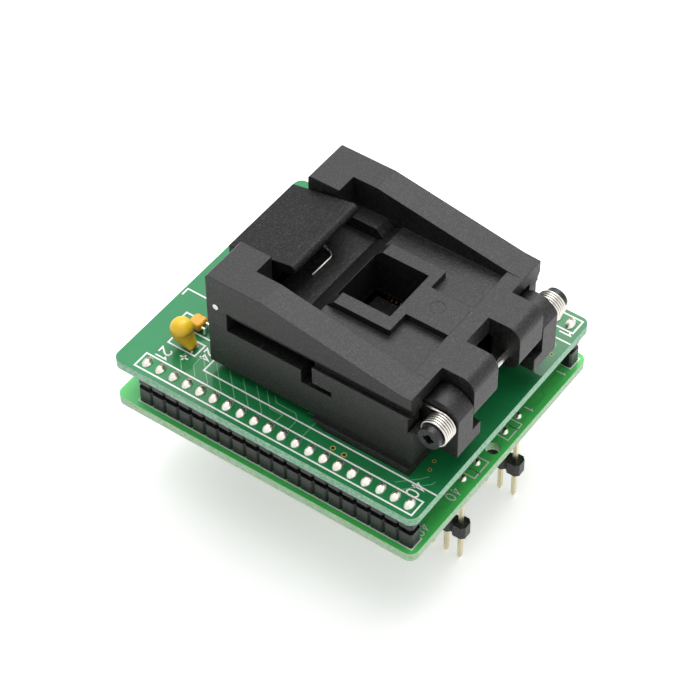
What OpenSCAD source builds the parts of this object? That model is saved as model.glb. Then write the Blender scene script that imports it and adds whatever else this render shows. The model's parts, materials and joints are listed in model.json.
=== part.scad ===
// Lidded test socket on a two-board 40-pin plug adapter.
// Millimetres. Origin: centre of the 40-pin plug field, on the seating face
// under its pin blocks. +X runs to the hinge end, +Y to the back, +Z up.

/* [Circuit boards] */
// Length of both boards along the pin rows
board_len = 55.6; // [54:0.1:60]
// Distance from the origin to the boards' hinge-end edge
board_right = 26.4; // [26:0.1:28]
// Width of both boards across the pin rows
board_wid = 48.4; // [47:0.1:54]
// Thickness of each board
board_thk = 1.6; // [1:0.1:2.4]
// Radius of the boards' corners
board_corner = 1.5; // [0.5:0.1:3]
// Clear space between the two boards
board_gap = 6.6; // [6:0.1:9]
// Diameter of the plain hole at the lower board's end
end_hole_dia = 2.3; // [1.5:0.1:2.6]
// Distance of the plain hole from the board edge
end_hole_inset = 1.9; // [1.6:0.1:2.2]

/* [Pin plug] */
// Pins in each row
row_count = 20; // [20:1:21]
// Pin pitch
pitch = 2.54; // [2.5:0.01:2.56]
// Distance between the two plug rows
plug_rows = 15.24; // [12:0.01:18]
// Side of the square plug pins
pin_side = 0.64; // [0.5:0.01:0.7]
// Height of a pin block
block_h = 2.54; // [2:0.01:3]
// Width of a pin block across the row
block_w = 2.5; // [2.2:0.01:3]
// Depth of the notch between two pin positions
block_notch = 0.42; // [0.2:0.01:0.6]
// Pin length under the plug blocks
plug_below = 6.2; // [4:0.1:8]
// Pin length between the plug blocks and the lower board
plug_stem = 8.56; // [6:0.01:12]
// Length of the pin taper
tip_taper = 0.7; // [0.3:0.05:1]

/* [Board-to-board rows] */
// Distance between the two rows that join the boards
join_rows = 43.66; // [42:0.01:45]
// Height of the socket strips on the lower board
strip_h = 3; // [2.5:0.1:4]
// Radius of the round plug-in pins of the upper board
join_pin_r = 0.25; // [0.2:0.01:0.3]
// Radial clearance of a pin in its sleeve
join_clear = 0.06; // [0.03:0.01:0.1]
// Outer radius of a sleeve
sleeve_r = 0.66; // [0.55:0.01:0.8]
// Radius of the solder tails and of the plated holes' pins
tail_r = 0.32; // [0.25:0.01:0.4]
// Length of the solder tails below the lower board
tail_below = 1.1; // [0.5:0.1:2]
// Radial clearance of a pin or tail in a board hole
hole_clear = 0.1; // [0.05:0.01:0.2]
// Depth of pin insertion into a sleeve
plug_in = 2.6; // [2:0.1:2.9]

/* [Solder] */
// Height of a solder cone
solder_h = 1; // [0.5:0.05:1.4]
// Foot radius of a solder cone
solder_r = 0.92; // [0.7:0.01:1]
// Top radius of a solder cone
solder_tip_r = 0.36; // [0.2:0.01:0.5]

/* [Socket base] */
// Latch-end face of the base
base_left = -15.6; // [-16:0.1:-15.2]
// Hinge-end face of the base
base_right = 21.1; // [21:0.1:21.3]
// Width of the base
base_wid = 34; // [33.6:0.1:35]
// Gap between the base's underside and the board
base_lift = 1.9; // [1.2:0.1:2.4]
// Height of the inner deck over the board
deck_z = 7.5; // [7:0.1:7.8]
// Height of the parting line over the board
part_z = 10.1; // [9.8:0.1:10.4]
// Height of the base's side wall at the hinge half
wall_low_z = 8.6; // [8.4:0.1:8.8]
// Thickness of the base's side walls
base_wall = 2.8; // [2:0.1:3.2]
// Width of the foot rails' flange beyond the base
flange_out = 0.55; // [0.2:0.05:0.8]
// Height of the foot rails' flange
flange_h = 1.35; // [1:0.05:1.6]

/* [Chip nest and contacts] */
// Centre of the chip nest along the rows
nest_x = 4.4; // [4:0.1:4.8]
// Side of the square chip seat
seat_side = 8.6; // [8:0.1:9]
// Height of the chip seat over the board
seat_z = 6.9; // [6.6:0.1:7]
// Side of the nest opening in the deck
nest_side = 14.2; // [13.8:0.1:15]
// Height of the contact floor over the board
contact_floor = 4.2; // [3.8:0.1:4.6]
// Contacts on each side
contact_count = 11; // [9:1:11]
// Contact pitch
contact_pitch = 0.8; // [0.75:0.01:0.82]
// Thickness of a contact blade
contact_thk = 0.3; // [0.2:0.01:0.36]
// Distance of the contact tips from the nest centre
tip_reach = 5.5; // [5.2:0.05:5.8]
// Length of the contact tails under the upper board
contact_tail = 0.8; // [0.4:0.1:1.2]

/* [Lid] */
// Gap between the lid and the base at the parting line
part_gap = 0.05; // [0.02:0.01:0.1]
// Width of the lid
lid_wid = 34.1; // [33.8:0.1:35]
// Latch-end face of the lid
lid_left = -15.7; // [-16:0.1:-15.5]
// Hinge-end face of the lid
lid_right = 20.85; // [20.8:0.05:20.95]
// Height of the lid's flat top over the board
lid_top = 20.1; // [19.6:0.1:21]
// Height of the lid's hinge-end top over the board
lid_end_top = 15.95; // [15.8:0.05:16.2]
// Where the top starts to slope down
slope_x = -5.4; // [-6:0.1:-4]
// Where the slope meets the hinge-end strip
strip_x = 18; // [17.6:0.1:18.4]
// Height of the lid's sunk deck over the board
lid_deck = 14.5; // [14.2:0.1:14.8]
// Height of the lid's underside over the board
lid_under = 12.5; // [12.3:0.1:12.8]
// Width of each side rim
rim_wid = 4.8; // [4.4:0.1:5.2]
// Height of the raised window frame over the board
frame_z = 15.8; // [15.4:0.1:15.9]
// Width of the raised window frame across the rows
frame_wid = 14.9; // [14:0.1:15.6]
// Distance of the window's hinge-end edge from the nest centre
window_end = 4.5; // [4.2:0.1:4.7]
// Window length along the rows
window_len = 9.7; // [8.5:0.1:10]
// Window width across the rows
window_wid = 10.1; // [9:0.1:10.4]
// Width of the frame's hinge-end bar
frame_bar = 1.6; // [1.2:0.1:2]
// Radius of the frame's corners at the hinge end
frame_round = 0.4; // [0.2:0.05:0.8]
// Width of the raised tongue behind the window
tongue_wid = 6.6; // [5:0.1:8]
// Radius of the round moulding mark on the tongue
mark_r = 1.2; // [0.8:0.1:1.5]
// Length of the ramp between the window and the latch recess
ramp_len = 2.9; // [2.4:0.1:3.2]
// Distance of the finger grooves' start from the latch end
groove_start = 3.6; // [3:0.1:4.5]
// Outer side of the pressure frame under the lid
press_side = 12.4; // [12:0.1:13]
// Wall of the pressure frame
press_wall = 1.1; // [0.8:0.1:1.3]
// Height of the pressure frame's lower edge over the board
press_z = 7.15; // [7.05:0.05:7.4]
// Length of the lid blocks that carry the latch
block_len = 5.8; // [5.4:0.1:6.2]
// Height of the latch recess floor over the board
recess_z = 12.6; // [12.5:0.05:12.8]

/* [Hinge] */
// Hinge axis along the rows
hinge_x = 24; // [23.9:0.05:24.1]
// Hinge axis height over the board
hinge_z = 9.9; // [9.7:0.05:10.1]
// Radius of the hinge shaft
shaft_r = 0.6; // [0.5:0.05:0.8]
// Radial running clearance on the shaft
shaft_clear = 0.05; // [0.03:0.01:0.08]
// Radius of the lid knuckles around the shaft
knuckle_r = 2.45; // [2.2:0.05:2.5]
// Inner edge of a lid knuckle from the middle
knuckle_in = 2.9; // [2.5:0.1:3.5]
// Outer edge of a lid knuckle from the middle
knuckle_out = 9.15; // [8.8:0.05:9.2]
// Side gap between a knuckle and its ear
side_gap = 0.2; // [0.1:0.05:0.4]
// Thickness of a base ear
ear_thk = 3.85; // [3.5:0.05:4]
// Radius of a base ear's round top
ear_r = 3.75; // [3.4:0.05:3.9]
// Underside of the ears over the board
ear_under = 3.8; // [3:0.1:4.4]
// Radius of a spring bushing
bush_r = 1.85; // [1.6:0.05:1.95]
// Length of a spring bushing
bush_len = 4; // [3.6:0.1:4.4]
// Wire diameter of the hinge springs
hinge_wire = 0.44; // [0.35:0.01:0.5]
// Turns of each hinge spring
hinge_turns = 6; // [5:1:7]
// Radial clearance between a coil and its bushing
coil_clear = 0.1; // [0.05:0.01:0.15]

/* [Latch] */
// Latch pin axis along the rows
latch_x = -14.1; // [-14.3:0.05:-13.9]
// Latch pin height over the board
latch_z = 14.15; // [14:0.05:14.4]
// Radius of the latch pin
latch_pin_r = 0.5; // [0.4:0.05:0.6]
// Width of the latch plate
latch_wid = 16.1; // [15:0.1:16.3]
// Length of the latch plate
latch_len = 12.3; // [11:0.1:13]
// Thickness of the latch plate
latch_thk = 1.7; // [1.4:0.1:2]
// Tilt of the latch plate
latch_tilt = 11.3; // [9:0.1:13]
// Outer end of the latch plate along the rows
latch_end_x = -18.25; // [-18.6:0.05:-18]
// Height of the plate's outer end over the board
latch_end_z = 17.3; // [17:0.1:17.8]
// Side gap between the latch and the lid blocks
latch_gap = 0.5; // [0.3:0.05:0.8]
// Thickness of the hook wall
hook_thk = 1.5; // [1.2:0.1:1.8]
// Lower end of the hook over the board
hook_z = 6.9; // [6.4:0.1:7.2]
// Gap between the hook's nose and the catch
hook_clear = 0.1; // [0.05:0.01:0.2]
// Wire diameter of the latch spring
latch_wire = 0.42; // [0.35:0.01:0.5]
// Length of the latch spring's leg over the recess floor
spring_reach = 7.4; // [6.5:0.1:8]
// Length of the bent foot at that leg's end
spring_foot = 5; // [3:0.1:5.5]
// Length of the latch spring's leg under the plate
spring_arm = 4.6; // [3.5:0.1:5.5]

/* [Capacitors] */
// Bulb radius of the dipped capacitor
drop_r = 1.85; // [1.6:0.05:2.1]
// Height of the bulb's centre over the board
drop_z = 3.6; // [3.2:0.1:4.5]
// Distance that the bulb leans over from its leads
drop_lean = 2.15; // [1:0.05:2.4]
// Radius of the drop's narrow foot
drop_tip = 0.36; // [0.3:0.02:0.5]
// Distance of the dipped capacitor's leads from the front board edge
drop_inset = 8.45; // [7.5:0.05:9]
// Distance between the two leads of each capacitor
lead_pitch = 1.1; // [0.9:0.05:1.4]
// Length of the lying capacitor along the rows
disc_len = 2.3; // [1.8:0.1:2.6]
// Width of the lying capacitor across the rows
disc_wid = 2.6; // [2.2:0.1:3]
// Thickness of the lying capacitor
disc_thk = 1.75; // [1.4:0.05:2]
// Radius of the lying capacitor's edges
disc_round = 0.55; // [0.4:0.05:0.65]
// Distance of the lying capacitor's centre from the front board edge
disc_inset = 12.55; // [12.3:0.05:13.5]
// Lead radius of both capacitors
lead_r = 0.25; // [0.2:0.01:0.3]

/* [Hidden] */
$fn = 32;
eps = 0.01;
// Stack heights, from the seating face up
low_under = block_h + plug_stem;
low_top = low_under + board_thk;
up_under = low_top + board_gap;
U = up_under + board_thk;
board_left = board_right - board_len;
end_hole_x = board_right - end_hole_inset;
join_pin_low = low_top + strip_h - plug_in;
// Base
rim_in = lid_wid / 2 - rim_wid;
wall_in = base_wid / 2 - base_wall;
step_x = 1.35;
step_end_x = 6.8;
skirt_x = 3.4;
skirt_foot_x = -12.1;
skirt_z = 12.5;
skirt_end_x = 20.3;
corner_z = 9;
rail_x = 3.5;
rail_slope = 2.1;
rail_in = 12;
boss_half = 9.9;
trench_half = 9.5;
trench_h = 1.2;
// Contacts
blade_back = 0.08;
blade_w = 0.34;
stem_r = nest_side / 2 - blade_back - blade_w / 2;
tail_near = stem_r;
tail_far = 8.9;
shoulder_h = 0.35;
tip_z = seat_z + 0.05;
slit_clear = 0.04;
// Hinge
ear_in = knuckle_out + side_gap;
ear_out = ear_in + ear_thk;
ear_right = hinge_x + knuckle_r + 0.05;
ear_cx = ear_right - ear_r + 0.25;
foot_in = ear_in - 2.1;
foot_h = 2.5;
fit_clear = 0.02;
relief_x = ear_cx - ear_r - 0.55;
relief_z = 13.45;
relief_out = ear_out + hinge_wire + 0.5;
bush_end = ear_out + bush_len;
shaft_end = bush_end - 1.9;
coil_r = bush_r + coil_clear + hinge_wire / 2;
coil_y = ear_out + 0.1 + hinge_wire / 2;
coil_step = hinge_wire * 0.98;
leg_rise = 0.37;
knuckle_round = 2.2;
// Lid
block_x = lid_left + block_len;
window_right = nest_x + window_end;
window_x = window_right - window_len;
frame_x = window_right + frame_bar;
recess_end = window_x - ramp_len;
stop_end = recess_end + 1.2;
stop_step = 1;
stop_top = lid_deck + 0.3;
mark_reach = 3.1;
mark_x = frame_x + mark_reach;
mark_y = 0.5;
mark_deep = 0.05;
groove_top = 14.1;
groove_low = 11.95;
groove_deep = 0.85;
recess_under = 10.6;
press_in = press_side / 2 - press_wall;
// Latch
hub_r = 1.6;
lug_in = 6.2;
lug_out = latch_wid / 2 - 0.15;
latch_run = 0.05;
catch_z = hook_z + 1.3;
latch_coil_in = latch_pin_r + 0.12;
latch_coil_y = 2.6;
latch_turns = 4;
// Capacitors
board_front = -board_wid / 2;
bay_mid = (board_left + base_left) / 2;
drop_x = bay_mid + 2.5;
drop_y = board_front + drop_inset;
drop_steps = 6;
lead_show = 0.3;
lead_below = 0.8;
disc_x = bay_mid + 0.15;
disc_y = board_front + disc_inset;
disc_z = lead_show + disc_thk / 2;
disc_lead_x = disc_x + disc_len / 2 + 0.5;

// ---- helpers ----
// Extrudes an X-Z outline from y0 to y1
module along_y(y0, y1)
  translate([0, y1, 0])
    rotate([90, 0, 0])
      linear_extrude(y1 - y0)
        children();

// The same on both sides of the middle
module both_sides(y0, y1) {
  along_y(y0, y1) children();
  along_y(-y1, -y0) children();
}

// Extrudes a Y-Z outline from x0 to x1
module along_x(x0, x1)
  translate([x0, 0, 0])
    rotate([90, 0, 90])
      linear_extrude(x1 - x0)
        children();

// Box between two corners
module box(a, b)
  translate(a)
    cube(b - a);

// Round rod between two points
module rod(a, b, r) {
  d = b - a;
  translate(a)
    rotate([0, acos(d[2] / norm(d)), atan2(d[1], d[0])])
      cylinder(r = r, h = norm(d), $fn = 20);
}

// Cylinder along Y at (x, z)
module bar_y(x, z, r, y0, y1)
  translate([x, y1, z])
    rotate([90, 0, 0])
      cylinder(r = r, h = y1 - y0);

// Rectangle with round corners, centred
module soft_rect(a, b, r) {
  square([a - 2 * r, b], center = true);
  square([a, b - 2 * r], center = true);
  for (x = [-1, 1])
    for (y = [-1, 1])
      translate([x * (a / 2 - r), y * (b / 2 - r)]) circle(r);
}

// One copy at each pin position of a row at y
module pin_row(y)
  for (i = [0 : row_count - 1])
    translate([(i - (row_count - 1) / 2) * pitch, y, 0])
      children();

// ---- boards ----
module board_outline()
  translate([board_left + board_len / 2, 0])
    soft_rect(board_len, board_wid, board_corner);

module drill(z, r)
  translate([0, 0, z - 1])
    cylinder(r = r, h = board_thk + 2, $fn = 24);

module lower_board()
  color("mediumseagreen")
    difference() {
      translate([0, 0, low_under])
        linear_extrude(board_thk)
          board_outline();
      for (s = [-1, 1]) {
        pin_row(s * plug_rows / 2) drill(low_under, pin_side * 0.708 + hole_clear);
        pin_row(s * join_rows / 2) drill(low_under, tail_r + hole_clear);
      }
      translate([end_hole_x, 0, 0]) drill(low_under, end_hole_dia / 2);
    }

module upper_board()
  color("seagreen")
    difference() {
      translate([0, 0, up_under])
        linear_extrude(board_thk)
          board_outline();
      for (s = [-1, 1])
        pin_row(s * join_rows / 2) drill(up_under, join_pin_r + hole_clear);
      lead_places() drill(up_under, lead_r + hole_clear);
      contact_slits(up_under - 1, U + 1, slit_clear + 0.03);
    }

// ---- pin plug ----
// Square pin from z0 (tapered tip) to z1
module square_pin(z0, z1, s) {
  outline = [[-s / 2, z1], [s / 2, z1], [s / 2, z0 + tip_taper], [s / 5, z0],
    [-s / 5, z0], [-s / 2, z0 + tip_taper]];
  intersection() {
    along_y(-s / 2, s / 2) polygon(outline);
    along_x(-s / 2, s / 2) polygon(outline);
  }
}

// Outline of a pin block: one notched segment per pin
function block_outline(w, n) =
  let (x0 = -row_count * pitch / 2)
  concat(
    [for (i = [0 : row_count - 1])
      for (p = [[x0 + i * pitch, n - w / 2], [x0 + i * pitch + n, -w / 2],
                [x0 + (i + 1) * pitch - n, -w / 2]]) p],
    [[-x0, n - w / 2]],
    [for (i = [row_count - 1 : -1 : 0])
      for (p = [[x0 + (i + 1) * pitch, w / 2 - n], [x0 + (i + 1) * pitch - n, w / 2],
                [x0 + i * pitch + n, w / 2]]) p],
    [[x0, w / 2 - n]]);

module pin_block(y, z, h, n, hole_r)
  difference() {
    translate([0, y, z])
      linear_extrude(h)
        polygon(block_outline(block_w, n));
    pin_row(y)
      translate([0, 0, z - 1])
        cylinder(r = hole_r, h = h + 2, $fn = 20);
  }

module plug_pins(y)
  color("khaki")
    pin_row(y)
      square_pin(-plug_below, low_top - eps, pin_side);

module plug_block(y)
  color("dimgray")
    difference() {
      translate([0, y, 0])
        linear_extrude(block_h)
          polygon(block_outline(block_w, block_notch * 1.3));
      pin_row(y)
        translate([-pin_side / 2, -pin_side / 2, -1])
          cube([pin_side, pin_side, block_h + 2]);
    }

module plug_pins_front() plug_pins(-plug_rows / 2);
module plug_pins_back() plug_pins(plug_rows / 2);
module plug_block_front() plug_block(-plug_rows / 2);
module plug_block_back() plug_block(plug_rows / 2);

// ---- rows that join the boards ----
module socket_strip(y)
  color("black")
    pin_block(y, low_top, strip_h, block_notch * 0.8, sleeve_r + 0.03);

module sleeve()
  difference() {
    union() {
      translate([0, 0, low_top + 0.3]) cylinder(r = sleeve_r, h = strip_h - 0.3);
      translate([0, 0, low_under - tail_below])
        cylinder(r = tail_r, h = board_thk + tail_below + 0.5, $fn = 20);
    }
    translate([0, 0, join_pin_low - 0.15])
      cylinder(r = join_pin_r + join_clear, h = strip_h + 1, $fn = 20);
  }

module join_block(y)
  color("dimgray")
    pin_block(y, up_under - block_h, block_h, block_notch * 0.8, join_pin_r + 0.03);

module join_pins(y)
  color("khaki")
    pin_row(y)
      translate([0, 0, join_pin_low])
        cylinder(r = join_pin_r, h = U - eps - join_pin_low, $fn = 20);

module socket_strip_front() socket_strip(-join_rows / 2);
module socket_strip_back() socket_strip(join_rows / 2);
module join_block_front() join_block(-join_rows / 2);
module join_block_back() join_block(join_rows / 2);
module join_pins_front() join_pins(-join_rows / 2);
module join_pins_back() join_pins(join_rows / 2);

module strip_sleeves()
  color("goldenrod")
    for (s = [-1, 1])
      pin_row(s * join_rows / 2)
        sleeve();

// ---- solder ----
// Concave solder cone standing on z = 0
module solder_cone(r, h)
  rotate_extrude($fn = 24)
    polygon([[0, 0], [r, 0], [r * 0.92, h * 0.1], [r * 0.66, h * 0.3],
      [solder_tip_r * 1.25, h * 0.66], [solder_tip_r, h * 0.92], [solder_tip_r * 0.6, h], [0, h]]);

module lower_solder()
  color("silver") {
    for (s = [-1, 1]) {
      pin_row(s * plug_rows / 2)
        translate([0, 0, low_top]) solder_cone(solder_r * 0.85, solder_h * 0.8);
      translate([pitch * (row_count - 1) / 2, s * plug_rows / 4, low_top])
        solder_cone(solder_r * 0.85, solder_h * 0.7);
    }
  }

module upper_solder()
  color("silver")
    for (s = [-1, 1])
      pin_row(s * join_rows / 2)
        translate([0, 0, U]) solder_cone(solder_r, solder_h);

// ---- contacts ----
// Blade outline: reach from the nest centre against height over the board
module blade_outline(tail) {
  w = blade_w / 2;
  f = contact_floor;
  t = -board_thk - contact_tail;
  polygon([[tail - w, t], [tail + w, t], [tail + w, f], [tail + 0.5, f],
    [tail + 0.5, f + shoulder_h], [stem_r + w, f + shoulder_h], [stem_r + w, tip_z - 1.05],
    [stem_r - 0.05, tip_z - 0.65], [tip_reach + 0.5, tip_z - 0.45],
    [tip_reach + 0.3, tip_z], [tip_reach, tip_z], [tip_reach - 0.1, tip_z - 0.6],
    [tip_reach + 0.15, tip_z - 0.8], [stem_r - 0.35, tip_z - 0.95],
    [stem_r - w, tip_z - 1.15], [stem_r - w, f + shoulder_h],
    [stem_r - 0.5, f + shoulder_h], [stem_r - 0.5, f], [tail - w, f]]);
}

function blade_tail(i) = i % 2 == 0 ? tail_near : tail_far;
function blade_at(i) = (i - (contact_count - 1) / 2) * contact_pitch;

module contact_row(turn)
  color("gold")
    translate([nest_x, 0, U])
      rotate([0, 0, turn])
        for (i = [0 : contact_count - 1])
          along_y(blade_at(i) - contact_thk / 2, blade_at(i) + contact_thk / 2)
            blade_outline(blade_tail(i));

// Slits that the contact tails pass through
module contact_slits(z0, z1, c)
  for (turn = [0, 90, 180, 270])
    translate([nest_x, 0, 0])
      rotate([0, 0, turn])
        for (i = [0 : contact_count - 1])
          box([blade_tail(i) - blade_w / 2 - c, blade_at(i) - contact_thk / 2 - c, z0],
              [blade_tail(i) + blade_w / 2 + c, blade_at(i) + contact_thk / 2 + c, z1]);

module contacts_hinge_side() contact_row(0);
module contacts_back() contact_row(90);
module contacts_latch_side() contact_row(180);
module contacts_front() contact_row(270);

// ---- socket base ----
module base_wall_outline()
  polygon([[base_left, U + base_lift], [base_right, U + base_lift], [base_right, U + corner_z],
    [skirt_end_x + 0.15, U + corner_z], [skirt_end_x + 0.15, U + wall_low_z],
    [step_end_x, U + wall_low_z], [step_end_x, U + deck_z], [step_x, U + deck_z],
    [step_x, U + part_z], [base_left, U + part_z]]);

module ear_outline()
  intersection() {
    union() {
      translate([ear_cx, U + hinge_z]) circle(ear_r, $fn = 64);
      translate([ear_cx - ear_r, U + ear_under]) square([2 * ear_r, hinge_z - ear_under]);
    }
    translate([ear_cx - ear_r, U]) square([ear_right - ear_cx + ear_r, hinge_z + ear_r + 1]);
  }

module socket_base()
  color("slategray")
    difference() {
      union() {
        box([base_left, -base_wid / 2, U + base_lift], [base_right, base_wid / 2, U + deck_z]);
        both_sides(wall_in, base_wid / 2) base_wall_outline();
        box([base_left, -base_wid / 2 + 1, U + base_lift],
            [base_left + base_wall, base_wid / 2 - 1, U + part_z]);
        box([nest_x - boss_half, -boss_half, U], [nest_x + boss_half, boss_half, U + deck_z]);
        both_sides(rail_in, base_wid / 2 + flange_out)
          polygon([[rail_x, U + flange_h], [rail_x + rail_slope, U], [base_right - 0.1, U],
            [base_right - 0.1, U + flange_h]]);
        both_sides(rail_in, base_wid / 2 - 0.2)
          translate([rail_x, U + flange_h / 2])
            square([base_right - 0.3 - rail_x, deck_z - flange_h]);
        both_sides(ear_in, ear_out) ear_outline();
        both_sides(foot_in, ear_in + eps)
          translate([base_right - 1, U + ear_under])
            square([ear_right - base_right + 1, foot_h]);
      }
      // nest, contact trench and slits
      difference() {
        union() {
          box([nest_x - nest_side / 2, -nest_side / 2, U + contact_floor],
              [nest_x + nest_side / 2, nest_side / 2, U + deck_z + 1]);
          box([nest_x - trench_half, -trench_half, U + contact_floor],
              [nest_x + trench_half, trench_half, U + contact_floor + trench_h]);
        }
        box([nest_x - seat_side / 2, -seat_side / 2, U],
            [nest_x + seat_side / 2, seat_side / 2, U + seat_z]);
      }
      contact_slits(U - 1, U + contact_floor + eps, slit_clear);
      // shaft seat in both ears
      bar_y(hinge_x, U + hinge_z, shaft_r + fit_clear, -ear_out - 1, ear_out + 1);
      // hook recess under the catch lip
      box([base_left - 1, -latch_wid / 2 - latch_gap, U + base_lift - 1],
          [base_left + 0.9, latch_wid / 2 + latch_gap, U + catch_z]);
    }

// ---- lid ----
module lid_side_outline()
  polygon([[lid_left, U + part_z + part_gap], [skirt_foot_x, U + part_z + part_gap],
    [skirt_foot_x, U + skirt_z], [skirt_x, U + skirt_z], [skirt_x, U + wall_low_z + part_gap],
    [skirt_end_x, U + wall_low_z + part_gap], [skirt_end_x, U + groove_low - 0.4],
    [lid_right, U + groove_low + 0.25], [lid_right, U + lid_end_top],
    [strip_x, U + lid_end_top + 0.15], [slope_x, U + lid_top],
    [lid_left + 0.35, U + lid_top], [lid_left, U + lid_top - 0.35]]);

module knuckle_outline() {
  k = knuckle_r;
  translate([hinge_x, U + hinge_z]) circle(k, $fn = 48);
  translate([hinge_x - k, U + hinge_z])
    square([2 * k, lid_end_top - knuckle_round - hinge_z]);
  translate([strip_x + 0.5, U + lid_under])
    square([hinge_x + k - knuckle_round - strip_x - 0.5, lid_end_top - lid_under]);
  translate([hinge_x + k - knuckle_round, U + lid_end_top - knuckle_round])
    circle(knuckle_round, $fn = 48);
}

module lid_deck_outline()
  polygon([[block_x, U + recess_under], [nest_x - press_side / 2 - 0.1, U + recess_under],
    [nest_x - press_side / 2 - 0.1, U + lid_under], [lid_right, U + lid_under],
    [lid_right, U + lid_end_top], [strip_x, U + lid_end_top], [strip_x, U + lid_deck],
    [window_x, U + lid_deck], [recess_end, U + recess_z], [block_x, U + recess_z]]);

// Raised U round the window: its arms slope down to the deck at their latch ends
module window_frame() {
  r = frame_round;
  w = frame_wid / 2;
  intersection() {
    along_y(-w, w)
      polygon([[window_x, U + lid_under], [frame_x, U + lid_under], [frame_x, U + frame_z],
        [window_x + frame_z - lid_deck, U + frame_z], [window_x, U + lid_deck]]);
    translate([0, 0, U])
      linear_extrude(frame_z + 1) {
        translate([window_x - 1, -w]) square([frame_x - r - window_x + 1, frame_wid]);
        translate([window_x - 1, r - w]) square([frame_x - window_x + 1, frame_wid - 2 * r]);
        for (s = [-1, 1])
          translate([frame_x - r, s * (w - r)]) circle(r, $fn = 24);
      }
  }
}

// Undercut finger groove along one side
module side_groove(s)
  along_x(lid_left + groove_start, lid_right + 1)
    polygon([[s * (lid_wid / 2 + 0.1), U + groove_top],
      [s * (lid_wid / 2 - groove_deep), U + groove_low + 0.35],
      [s * (lid_wid / 2 - groove_deep), U + groove_low], [s * (lid_wid / 2 + 0.1), U + groove_low]]);

module lid()
  color("gray")
    difference() {
      union() {
        both_sides(rim_in, lid_wid / 2) lid_side_outline();
        along_y(-rim_in - 0.1, rim_in + 0.1) lid_deck_outline();
        // blocks that carry the latch pin
        both_sides(latch_wid / 2 + latch_gap, rim_in + 0.1)
          polygon([[lid_left, U + part_z + part_gap], [block_x, U + part_z + part_gap],
            [block_x, U + lid_top], [lid_left + 0.35, U + lid_top], [lid_left, U + lid_top - 0.35]]);
        // stop steps beside the latch
        both_sides(latch_wid / 2 + 1.4, rim_in + 0.1)
          polygon([[block_x, U + recess_z - 0.1], [stop_end, U + recess_z - 0.1],
            [stop_end, U + recess_z + stop_step], [recess_end, U + stop_top],
            [block_x, U + stop_top]]);
        window_frame();
        box([frame_x - 0.1, -tongue_wid / 2, U + lid_under],
            [strip_x + 0.1, tongue_wid / 2, U + frame_z]);
        // pressure frame
        box([nest_x - press_side / 2, -press_side / 2, U + press_z],
            [nest_x + press_side / 2, press_side / 2, U + lid_under + 0.5]);
        both_sides(knuckle_in, knuckle_out) knuckle_outline();
      }
      box([nest_x - press_in, -press_in, U + press_z - 1], [nest_x + press_in, press_in, U + lid_under]);
      box([window_x, -window_wid / 2, U + press_z], [window_right, window_wid / 2, U + frame_z + 1]);
      translate([mark_x, mark_y, U + frame_z - mark_deep]) cylinder(r = mark_r, h = 1);
      bar_y(hinge_x, U + hinge_z, shaft_r + shaft_clear, -knuckle_out - 1, knuckle_out + 1);
      bar_y(latch_x, U + latch_z, latch_pin_r + fit_clear, -lid_wid / 2 - 1, lid_wid / 2 + 1);
      side_groove(1);
      side_groove(-1);
      // room for the ears and the spring legs
      both_sides(knuckle_out, relief_out)
        translate([relief_x, U])
          square([lid_right + 1 - relief_x, relief_z]);
    }

// ---- hinge ----
module hinge_shaft()
  color("lightsteelblue")
    bar_y(hinge_x, U + hinge_z, shaft_r, -shaft_end, shaft_end);

// Bushing on the +Y side; the front one is its mirror image
module bushing()
  difference() {
    bar_y(hinge_x, U + hinge_z, bush_r, ear_out, bush_end);
    bar_y(hinge_x, U + hinge_z, shaft_r + fit_clear, ear_out - 1, shaft_end + eps);
    for (a = [0, 90, 180, 270])
      bar_y(hinge_x + 0.5 * cos(a), U + hinge_z + 0.5 * sin(a), 0.42, shaft_end, bush_end + 1);
    bar_y(hinge_x, U + hinge_z, 0.4, shaft_end, bush_end + 1);
  }

module hinge_bushing_back() color("darkslategray") bushing();
module hinge_bushing_front() color("darkslategray") mirror([0, 1, 0]) bushing();

// Close-wound torsion spring on the +Y side
module hinge_spring() {
  y_end = coil_y + (hinge_turns - 1) * coil_step;
  translate([hinge_x, coil_y, U + hinge_z])
    rotate([-90, 0, 0])
      rotate_extrude($fn = 48)
        for (k = [0 : hinge_turns - 1])
          translate([coil_r, k * coil_step]) circle(d = hinge_wire, $fn = 16);
  rod([hinge_x, coil_y, U + hinge_z + coil_r],
      [relief_x + 0.2, coil_y, U + lid_under - hinge_wire], hinge_wire / 2);
  rod([hinge_x, y_end, U + hinge_z - coil_r],
      [base_right + hinge_wire * 0.6, y_end, U + hinge_z - coil_r + leg_rise], hinge_wire / 2);
}

module hinge_spring_back() color("silver") hinge_spring();
module hinge_spring_front() color("silver") mirror([0, 1, 0]) hinge_spring();

// ---- latch ----
module latch_outline() {
  translate([latch_end_x, U + latch_end_z])
    rotate(latch_tilt) {
      translate([0, -latch_thk]) square([latch_len - latch_thk / 2, latch_thk]);
      translate([latch_len - latch_thk / 2, -latch_thk / 2]) circle(latch_thk / 2);
    }
  // hook wall with its nose
  polygon([[latch_end_x, U + latch_end_z], [latch_end_x, U + hook_z],
    [latch_end_x + hook_thk * 0.6, U + hook_z], [base_left - hook_clear, U + hook_z + 0.55],
    [base_left - hook_clear, U + catch_z - 0.15], [latch_end_x + hook_thk, U + catch_z - 0.15],
    [latch_end_x + hook_thk, U + latch_end_z]]);
}

module lug_outline() {
  translate([latch_x, U + latch_z]) circle(hub_r);
  polygon([[latch_end_x + 0.4, U + latch_end_z - 0.3], [latch_end_x + 0.4, U + latch_z - 0.6],
    [latch_x, U + latch_z - hub_r], [latch_x + hub_r, U + latch_z], [latch_x + hub_r + 1.2, U + latch_end_z]]);
}

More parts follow.
